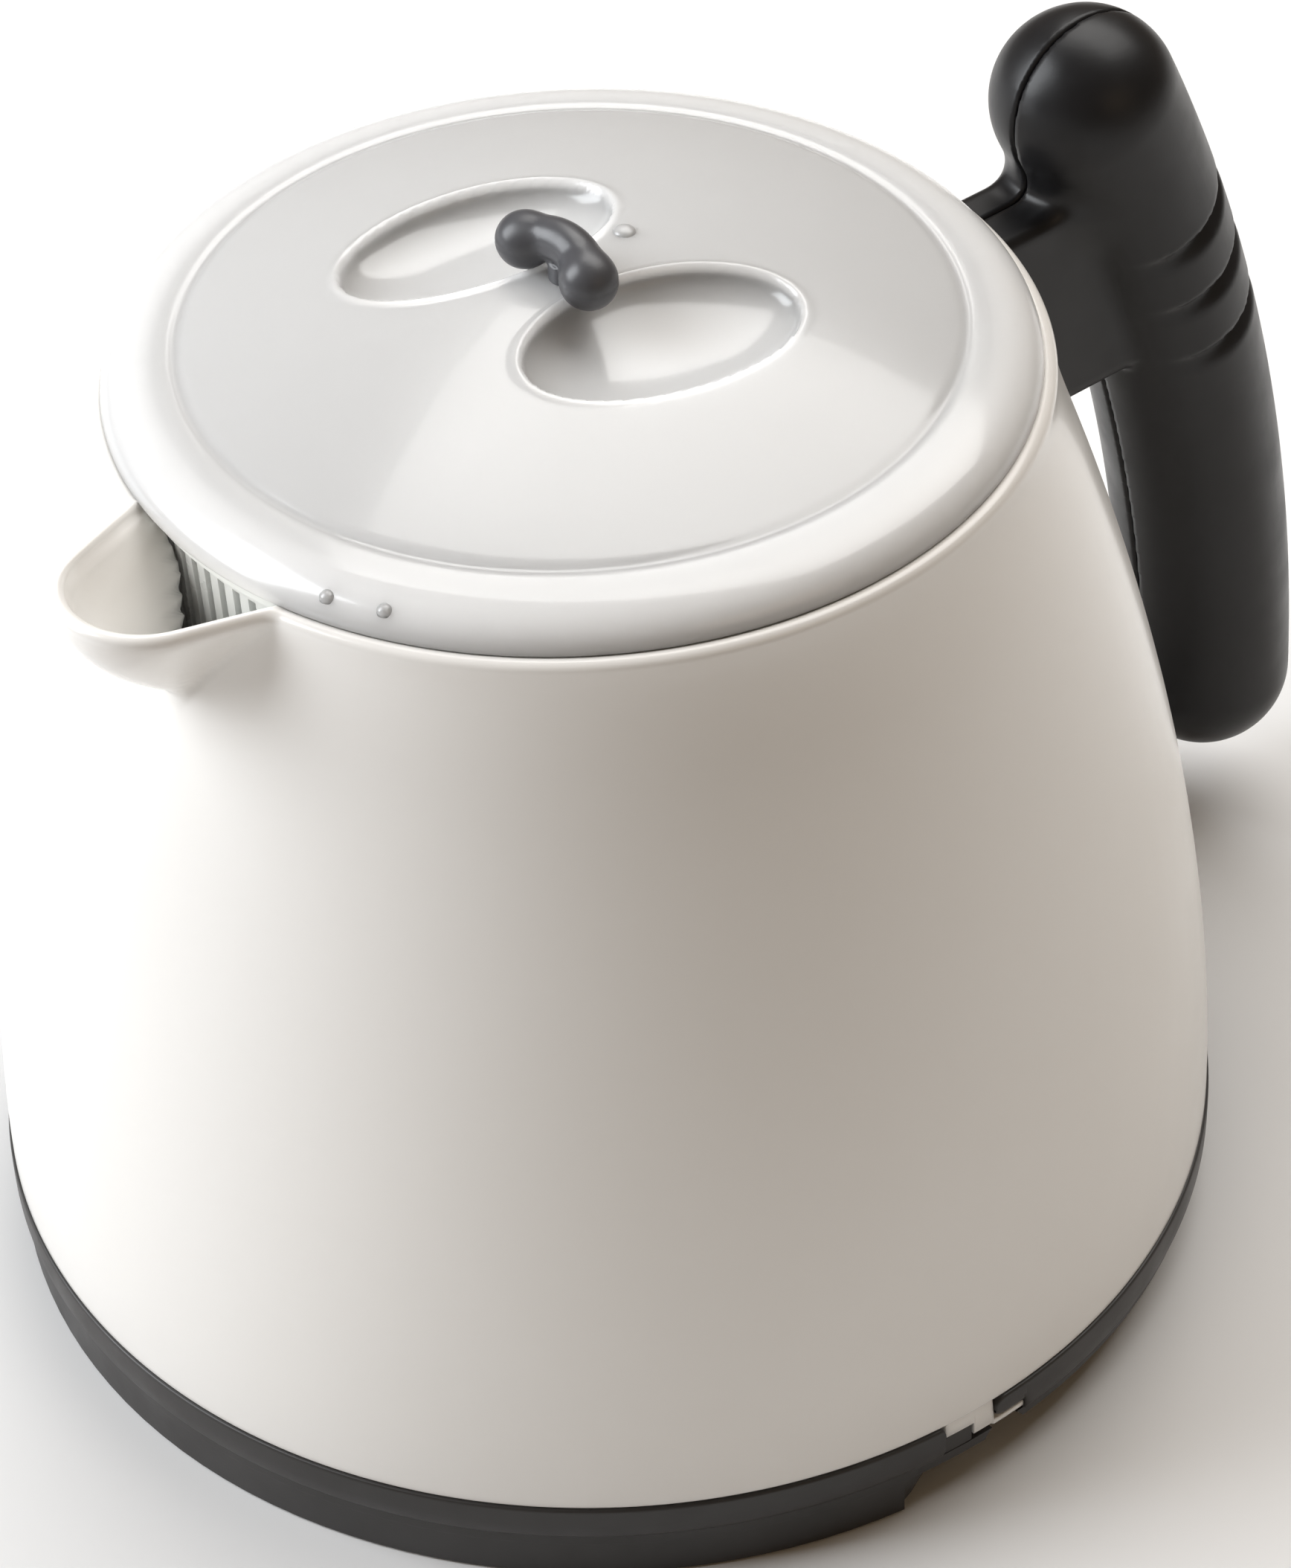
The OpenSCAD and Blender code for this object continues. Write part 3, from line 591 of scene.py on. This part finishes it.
def jug_clearance(x, y, z):
    """Distance outside the jug's wall."""
    r = np.hypot(x, y)
    return (r - wall_r(z)) * WALL_SLANT


def shell_distance(side):
    """Half of the handle, on the side of Y that side gives, with a softened parting edge."""
    def distance(x, y, z):
        grip = grip_distance(x, y, z)
        arm = arm_distance(x, y, z)
        fillet = FILLET + FILLET_MORE * smooth_step(FILLET_FROM_Z, FILLET_TO_Z, z)
        whole = smooth_min(grip, arm, fillet)
        whole = np.maximum(whole, WALL_GAP - jug_clearance(x, y, z))
        half = SEAM_HALF - side * y
        if side > 0:
            for hole_x, hole_z in SCREW_HOLES:
                hole = np.maximum(np.hypot(x - hole_x, z - hole_z) - SCREW_HOLE_R, SCREW_SEAT_Y - y)
                whole = np.maximum(whole, -hole)
        return smooth_max(whole, half, SEAM_SOFT)
    return distance


# Places of the screws, in X and Z
SCREW_HOLES = ARM_SCREWS + [
    (ARC_AT[0] + ARC_R * math.cos(a), ARC_AT[1] + ARC_R * math.sin(a)) for a in GRIP_SCREWS_AT]


# ------------------------------------------------------------ base
def band_outline(low, top):
    """Cross-section of the band as (radius, height), with eased edges."""
    inner = SPIGOT_R + 0.3
    ease = min(0.9, (top - low) * 0.3)
    wall = [(BAND_R - 0.32, top), (BAND_R - 0.12, top - 0.12), (BAND_R - 0.02, top - 0.5)]
    wall += [(BAND_R, low + (top - low) * 0.45), (BAND_R - 0.03, low + ease)]
    foot = [(BAND_R - 0.25 * ease - 0.03, low + 0.35 * ease), (BAND_R - 0.85 * ease, low)]
    return [(inner, low), (inner, top)] + wall + foot


def make_band():
    """The dark band round the base, from one end of its notch round to the other."""
    loops = []
    turn_from = NOTCH_TO
    turn_to = 360 + NOTCH_FROM
    degrees = np.concatenate([
        turn_from + np.array([0, 0.12, 0.3, 0.6, 1.0, 1.4, 1.8]),
        np.linspace(SLOT_TO - 1.4, SLOT_TO - 0.02, 5),
        [SLOT_TO + 0.02],
        np.linspace(SLOT_TO + 1, turn_to - 1.2, 300),
        turn_to - np.array([0.8, 0.5, 0.25, 0.1, 0])])
    for d in degrees:
        low = SLOT_TOP if d < SLOT_TO else BAND_LOW
        top = BAND_TOP
        start = (d - turn_from) * math.pi / 180 * BAND_R
        end = (turn_to - d) * math.pi / 180 * BAND_R
        tall = (top - low) / 2
        for away, radius in ((start, min(tall, 1.8)), (end, 0.9)):
            if away < radius:
                cut = radius - math.sqrt(max(radius ** 2 - (radius - away) ** 2, 0))
                low, top = low + cut * 0.96, top - cut * 0.96
        a = math.radians(d)
        loops.append([(r * math.cos(a), r * math.sin(a), z) for r, z in band_outline(low, top)])
    return closed_sweep("base_band", np.array(loops))


def make_jug_foot():
    """The jug's white foot that shows in the band's notch."""
    loops = []
    for d in np.concatenate([np.linspace(NOTCH_FROM + 0.2, NOTCH_MID - 0.02, 8),
                             np.linspace(NOTCH_MID + 0.02, NOTCH_TO - 0.1, 8),
                             np.linspace(NOTCH_TO, SLOT_TO - 0.2, 10)]):
        low = STEP_Z + 0.1 if d < NOTCH_MID else SLOT_LOW + 0.1
        top = FOOT_Z + 0.3 if d < NOTCH_TO - 0.05 else SLOT_TOP - 0.1
        outer = FOOT_R - 0.25 if top > SLOT_TOP else BAND_R - 0.35
        a = math.radians(d)
        section = [(SPIGOT_R - 0.1, low), (SPIGOT_R - 0.1, top), (outer - 0.15, top),
                   (outer, top - 0.15), (outer, low + 0.3), (outer - 0.3, low)]
        loops.append([(r * math.cos(a), r * math.sin(a), z) for r, z in section])
    return closed_sweep("jug_notch_foot", np.array(loops))


def make_skirt():
    """The foot skirt on the spout's half, its ends sweeping up in a short curve."""
    low_z = COVER_LOW[2]
    edge_r = COVER_HIGH[1]
    top = BAND_LOW - 0.2
    half = SKIRT_HALF_TURN
    loops = []
    tip = np.array([0, 0.35, 0.8, 1.4, 2.1, 3.0, 4.0])
    degrees = np.concatenate([180 - half + tip, np.linspace(180 - half + 5, 180 + half - 5, 200),
                              (180 + half - tip)[::-1]])
    for d in degrees:
        away = half - abs(d - 180)
        rise = TIP_RISE * (1 - smooth_step(0, TIP_TURN, away)) ** 1.6
        low = low_z + float(rise)
        a = math.radians(d)
        section = [(SKIRT_IN_R, low + 0.3), (SKIRT_IN_R, top),
                   (edge_r - 0.25, top), (edge_r - 0.05, top - 0.2),
                   (edge_r - 0.05, top - 1.0), (edge_r - 0.25, (low + top) / 2),
                   (edge_r - 0.6, low + 0.5), (edge_r - 1.0, low + 0.05),
                   (SKIRT_IN_R + 0.4, low)]
        loops.append([(r * math.cos(a), r * math.sin(a), z) for r, z in section])
    return closed_sweep("foot_skirt", np.array(loops))


# ------------------------------------------------------------ materials
def colour(value):
    return (value[0], value[1], value[2], 1.0)


class Material:
    """A principled material with helpers for its variation nodes."""

    def __init__(self, name):
        self.data = bpy.data.materials.new(name)
        self.data.use_nodes = True
        self.nodes = self.data.node_tree.nodes
        self.links = self.data.node_tree.links
        self.shader = self.nodes["Principled BSDF"]
        self.place = self.nodes.new("ShaderNodeTexCoord")

    def set(self, **values):
        for key, value in values.items():
            self.shader.inputs[key.replace("_", " ")].default_value = value

    def noise(self, scale, detail=3.0, rough=0.55, stretch=(1, 1, 1)):
        mapping = self.nodes.new("ShaderNodeMapping")
        mapping.inputs["Scale"].default_value = stretch
        noise = self.nodes.new("ShaderNodeTexNoise")
        noise.inputs["Scale"].default_value = scale
        noise.inputs["Detail"].default_value = detail
        noise.inputs["Roughness"].default_value = rough
        self.links.new(self.place.outputs["Object"], mapping.inputs["Vector"])
        self.links.new(mapping.outputs["Vector"], noise.inputs["Vector"])
        return noise.outputs["Fac"]

    def spread(self, source, low, high, from_low=0.3, from_high=0.7):
        change = self.nodes.new("ShaderNodeMapRange")
        change.inputs["From Min"].default_value = from_low
        change.inputs["From Max"].default_value = from_high
        change.inputs["To Min"].default_value = low
        change.inputs["To Max"].default_value = high
        self.links.new(source, change.inputs["Value"])
        return change.outputs["Result"]

    def mix(self, source, first, second):
        mixer = self.nodes.new("ShaderNodeMix")
        mixer.data_type = "RGBA"
        mixer.inputs["A"].default_value = colour(first)
        mixer.inputs["B"].default_value = colour(second)
        self.links.new(source, mixer.inputs["Factor"])
        return mixer.outputs["Result"]

    def link(self, source, socket):
        self.links.new(source, self.shader.inputs[socket])

    def bump(self, heights):
        """heights is a list of (source, strength, distance in metres), chained."""
        last = None
        for source, strength, distance in heights:
            node = self.nodes.new("ShaderNodeBump")
            node.inputs["Strength"].default_value = strength
            node.inputs["Distance"].default_value = distance
            self.links.new(source, node.inputs["Height"])
            if last is not None:
                self.links.new(last, node.inputs["Normal"])
            last = node.outputs["Normal"]
        self.links.new(last, self.shader.inputs["Normal"])


def plastic(name, first, second, rough, patch=14.0, grain=900.0, grain_depth=0.00002,
            wave=45.0, wave_depth=0.00008, **values):
    """Moulded plastic: slow colour drift, patchy gloss, a slight waviness and a fine grain."""
    m = Material(name)
    m.set(Subsurface_Radius=(1, 1, 1), **values)
    drift = m.noise(patch, 4.0)
    m.link(m.mix(m.spread(drift, 0, 1), first, second), "Base Color")
    m.link(m.spread(m.noise(patch * 3.3, 5.0), rough[0], rough[1]), "Roughness")
    m.bump([(m.noise(wave, 1.0), 0.35, wave_depth), (m.noise(grain, 2.0), 0.4, grain_depth)])
    return m.data


def metal(name, first, second, rough, stretch=(1, 1, 1), **values):
    """Bare metal with fine streaks in colour and gloss."""
    m = Material(name)
    m.set(Metallic=1.0, **values)
    streak = m.noise(260.0, 4.0, stretch=stretch)
    m.link(m.mix(m.spread(streak, 0, 1), first, second), "Base Color")
    m.link(m.spread(m.noise(90.0, 4.0), rough[0], rough[1]), "Roughness")
    m.bump([(streak, 0.25, 0.00003)])
    return m.data


def build_materials():
    made = {}
    made["jug_white"] = plastic(
        "jug_white", (0.86, 0.84, 0.81), (0.885, 0.868, 0.842), (0.17, 0.25), patch=9.0,
        grain=1400.0, grain_depth=0.000006, wave=26.0, wave_depth=0.0001,
        Subsurface_Weight=0.12, Subsurface_Scale=0.004, Coat_Weight=0.15, Coat_Roughness=0.06,
        IOR=1.5)
    made["lid_natural"] = plastic(
        "lid_natural", (0.94, 0.945, 0.945), (0.965, 0.97, 0.97), (0.14, 0.24), patch=16.0,
        grain=1200.0, grain_depth=0.000006, wave=22.0, wave_depth=0.00012,
        Subsurface_Weight=0.9, Subsurface_Scale=0.012,
        Coat_Weight=0.25, Coat_Roughness=0.05, IOR=1.49)
    made["strainer_natural"] = plastic(
        "strainer_natural", (0.80, 0.82, 0.79), (0.86, 0.875, 0.85), (0.26, 0.34), patch=16.0,
        grain=1200.0, grain_depth=0.000005, wave=24.0, wave_depth=0.00002,
        Subsurface_Weight=0.2, Subsurface_Scale=0.002, IOR=1.49)
    # Painted shade: charcoal_satin's base colour is set darker than knob_charcoal, the same
    # charcoal plastic, to stand in for the handle's shaded side.
    made["charcoal_satin"] = plastic(
        "charcoal_satin", (0.010, 0.010, 0.011), (0.015, 0.015, 0.017), (0.30, 0.42), patch=40.0,
        grain=2600.0, grain_depth=0.000012, wave=70.0, wave_depth=0.00005,
        Specular_IOR_Level=0.34, IOR=1.5)
    made["knob_charcoal"] = plastic(
        "knob_charcoal", (0.060, 0.061, 0.068), (0.085, 0.086, 0.094), (0.28, 0.40), patch=90.0,
        grain=4200.0, grain_depth=0.000012, wave=240.0, wave_depth=0.00002, IOR=1.5)
    made["base_charcoal"] = plastic(
        "base_charcoal", (0.026, 0.024, 0.023), (0.038, 0.035, 0.034), (0.36, 0.50), patch=32.0,
        grain=3000.0, grain_depth=0.000025, wave=80.0, wave_depth=0.00006, IOR=1.48)
    made["foot_rubber"] = plastic(
        "foot_rubber", (0.018, 0.018, 0.018), (0.032, 0.031, 0.030), (0.70, 0.86), patch=60.0,
        grain=3400.0, grain_depth=0.00004, wave=160.0, wave_depth=0.00004,
        Sheen_Weight=0.15, Sheen_Roughness=0.6)
    made["screw_steel"] = metal("screw_steel", (0.52, 0.52, 0.53), (0.66, 0.66, 0.65), (0.26, 0.42))
    made["heater_aluminium"] = metal(
        "heater_aluminium", (0.72, 0.72, 0.73), (0.82, 0.82, 0.83), (0.24, 0.38),
        stretch=(1, 14, 1))
    made["element_mica"] = plastic(
        "element_mica", (0.36, 0.27, 0.15), (0.56, 0.45, 0.29), (0.34, 0.6), patch=120.0,
        grain=2200.0, grain_depth=0.00004, wave=300.0, wave_depth=0.00005)
    made["insulation_felt"] = plastic(
        "insulation_felt", (0.74, 0.71, 0.62), (0.87, 0.85, 0.78), (0.86, 0.96), patch=150.0,
        grain=2600.0, grain_depth=0.00012, wave=700.0, wave_depth=0.0002,
        Sheen_Weight=0.4, Sheen_Roughness=0.7)
    made["thermostat_body"] = plastic(
        "thermostat_body", (0.055, 0.042, 0.034), (0.09, 0.07, 0.056), (0.36, 0.52), patch=160.0,
        grain=3600.0, grain_depth=0.00002, wave=240.0, wave_depth=0.00003)
    made["terminal_plastic"] = plastic(
        "terminal_plastic", (0.74, 0.71, 0.60), (0.82, 0.79, 0.70), (0.34, 0.48), patch=120.0,
        grain=3000.0, grain_depth=0.00001, wave=200.0, wave_depth=0.00003,
        Subsurface_Weight=0.1, Subsurface_Scale=0.002)
    made["wire_brown"] = plastic(
        "wire_brown", (0.12, 0.045, 0.022), (0.17, 0.07, 0.036), (0.3, 0.44), patch=200.0,
        grain=4000.0, grain_depth=0.00001, wave=500.0, wave_depth=0.00003)
    made["wire_blue"] = plastic(
        "wire_blue", (0.035, 0.11, 0.40), (0.055, 0.16, 0.52), (0.3, 0.44), patch=200.0,
        grain=4000.0, grain_depth=0.00001, wave=500.0, wave_depth=0.00003)
    return made


MATERIALS = build_materials()


def dress(piece, name):
    piece.data.materials.clear()
    piece.data.materials.append(MATERIALS[name])


def add(piece, body, material, slot, *nodes):
    """Gives a new piece its material and its body, and hides the CAD nodes it stands for."""
    dress(piece, material)
    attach(piece, body)
    if nodes:
        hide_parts(*nodes)
    return piece


# ------------------------------------------------------------ the pieces
add(make_jug(), "jug", "jug_white", "jug_white", "jug_body")
add(make_jug_foot(), "jug", "jug_white", "jug_white")
add(make_lid(), "lid", "lid_natural", "lid_natural", "lid_shell")
for number, (angle, radius) in enumerate(EDGE_NUBS):
    x = radius * math.cos(math.radians(angle))
    y = radius * math.sin(math.radians(angle))
    z = float(dome(np.array(radius))) - EDGE_NUB_SINK
    nub = make_nub(f"lid_edge_nub_{number + 1}", x, y, z, EDGE_NUB_R, NUB_HEIGHT)
    add(nub, "lid", "lid_natural", "lid_natural")
gate_z = float(lid_top(np.array(GATE_NUB[0]), np.array(GATE_NUB[1])))
add(make_nub("lid_gate_nub", *GATE_NUB, gate_z - GATE_NUB_SINK, GATE_NUB_R, NUB_HEIGHT),
    "lid", "lid_natural", "lid_natural")
add(surface_nets("knob", knob_distance, *KNOB_BOX, KNOB_GRID),
    "lid", "knob_charcoal", "charcoal_satin", "lid_knob")
for side, label, node in ((-1, "near", "handle_near_shell"), (1, "far", "handle_far_shell")):
    y_low, y_high = sorted(side * y for y in HANDLE_Y)
    low = (HANDLE_X[0], y_low, HANDLE_Z[0])
    high = (HANDLE_X[1], y_high, HANDLE_Z[1])
    shell = surface_nets(f"handle_{label}", shell_distance(side), low, high, HANDLE_GRID)
    add(shell, "jug", "charcoal_satin", "charcoal_satin", node)
add(make_band(), "jug", "base_charcoal", "base_charcoal", "base_ring")
add(make_skirt(), "jug", "base_charcoal", "base_charcoal")

for entry in frame["record"]["subparts"]:
    node = frame["nodes"][entry["node"]]
    dress(node, entry["material_slot"])


# ------------------------------------------------------------ stage, light and camera
STAGE_HALF = 4.0                      # half the floor's width, in metres


def make_floor():
    """The plain pale floor, which belongs to the stage and not to the object."""
    mesh = bpy.data.meshes.new("floor")
    half = STAGE_HALF
    corners = [(-half, -half, 0), (half, -half, 0), (half, half, 0), (-half, half, 0)]
    mesh.from_pydata(corners, [], [(0, 1, 2, 3)])
    floor = bpy.data.objects.new("floor", mesh)
    bpy.context.scene.collection.objects.link(floor)
    m = Material("floor_paper")
    m.link(m.mix(m.noise(3.0), (0.83, 0.83, 0.83), (0.85, 0.85, 0.85)), "Base Color")
    m.set(Roughness=0.9, Specular_IOR_Level=0.1)
    mesh.materials.append(m.data)


LAMPS_AIM_AT = (0.0, 0.0, 0.08)
# Name, place in the camera's bearing, size in metres, power in watts, colour
LAMPS = (("window", (-1.15, 0.05, 0.85), (0.8, 1.1), 23.0, (0.93, 0.965, 1.0)),
         ("overhead", (0.3, 0.5, 1.1), (1.2, 0.8), 12.5, (1.0, 0.99, 0.97)),
         ("fill", (0.9, -1.0, 0.7), (0.8, 0.6), 0.8, (1.0, 0.74, 0.48)))


def softbox(name, place, target, size, power, tint):
    """A rectangular lamp at a place, turned towards a target."""
    light = bpy.data.lights.new(name, "AREA")
    light.shape = "RECTANGLE"
    light.size, light.size_y = size
    light.energy = power
    light.color = tint
    lamp = bpy.data.objects.new(name, light)
    lamp.location = place
    aim = Vector(target) - Vector(place)
    lamp.rotation_euler = aim.to_track_quat("-Z", "Y").to_euler()
    bpy.context.scene.collection.objects.link(lamp)


# The camera looks from VIEW_TURN round the object; its axes come from yaw, pitch and roll
VIEW_TURN = math.radians(-36.4)
CAMERA_YAW = 0.0143
CAMERA_PITCH = 0.7120
CAMERA_ROLL = -0.0419
CAMERA_AT = (0, -0.49175, 0.48781)
CAMERA_LENS = 110.15


def turned(x, y, z):
    """A place given in the camera's own bearing: x to its right, y away from it, z up."""
    c, s = math.cos(VIEW_TURN), math.sin(VIEW_TURN)
    return (x * c - y * s, x * s + y * c, z)


def make_camera():
    yaw, pitch, roll = CAMERA_YAW, CAMERA_PITCH, CAMERA_ROLL
    level = math.cos(pitch)
    forward = Vector((math.sin(yaw) * level, math.cos(yaw) * level, -math.sin(pitch)))
    right = Vector((math.cos(yaw), -math.sin(yaw), 0))
    up = right.cross(forward)
    x_axis = right * math.cos(roll) + up * math.sin(roll)
    y_axis = up * math.cos(roll) - right * math.sin(roll)
    axes = [Vector(turned(*a)) for a in (x_axis, y_axis, -forward)]
    camera = bpy.data.cameras.new("camera")
    camera.sensor_width = 36.0
    camera.lens = CAMERA_LENS
    camera.clip_start = 0.01
    holder = bpy.data.objects.new("camera", camera)
    matrix = Matrix.Identity(4)
    for i, axis in enumerate(axes):
        for j in range(3):
            matrix[j][i] = axis[j]
    matrix.translation = Vector(turned(*CAMERA_AT))
    holder.matrix_world = matrix
    bpy.context.scene.collection.objects.link(holder)
    bpy.context.scene.camera = holder


WORLD_COLOUR = (1.0, 0.73, 0.47, 1)
WORLD_STRENGTH = 0.12


def make_world():
    world = bpy.data.worlds.new("studio")
    world.use_nodes = True
    back = world.node_tree.nodes["Background"]
    back.inputs["Color"].default_value = WORLD_COLOUR
    back.inputs["Strength"].default_value = WORLD_STRENGTH
    bpy.context.scene.world = world


bpy.context.scene.view_settings.view_transform = "Standard"
make_floor()
make_camera()
make_world()
for lamp_name, place, size, watts, tint in LAMPS:
    softbox(lamp_name, turned(*place), LAMPS_AIM_AT, size, watts, tint)

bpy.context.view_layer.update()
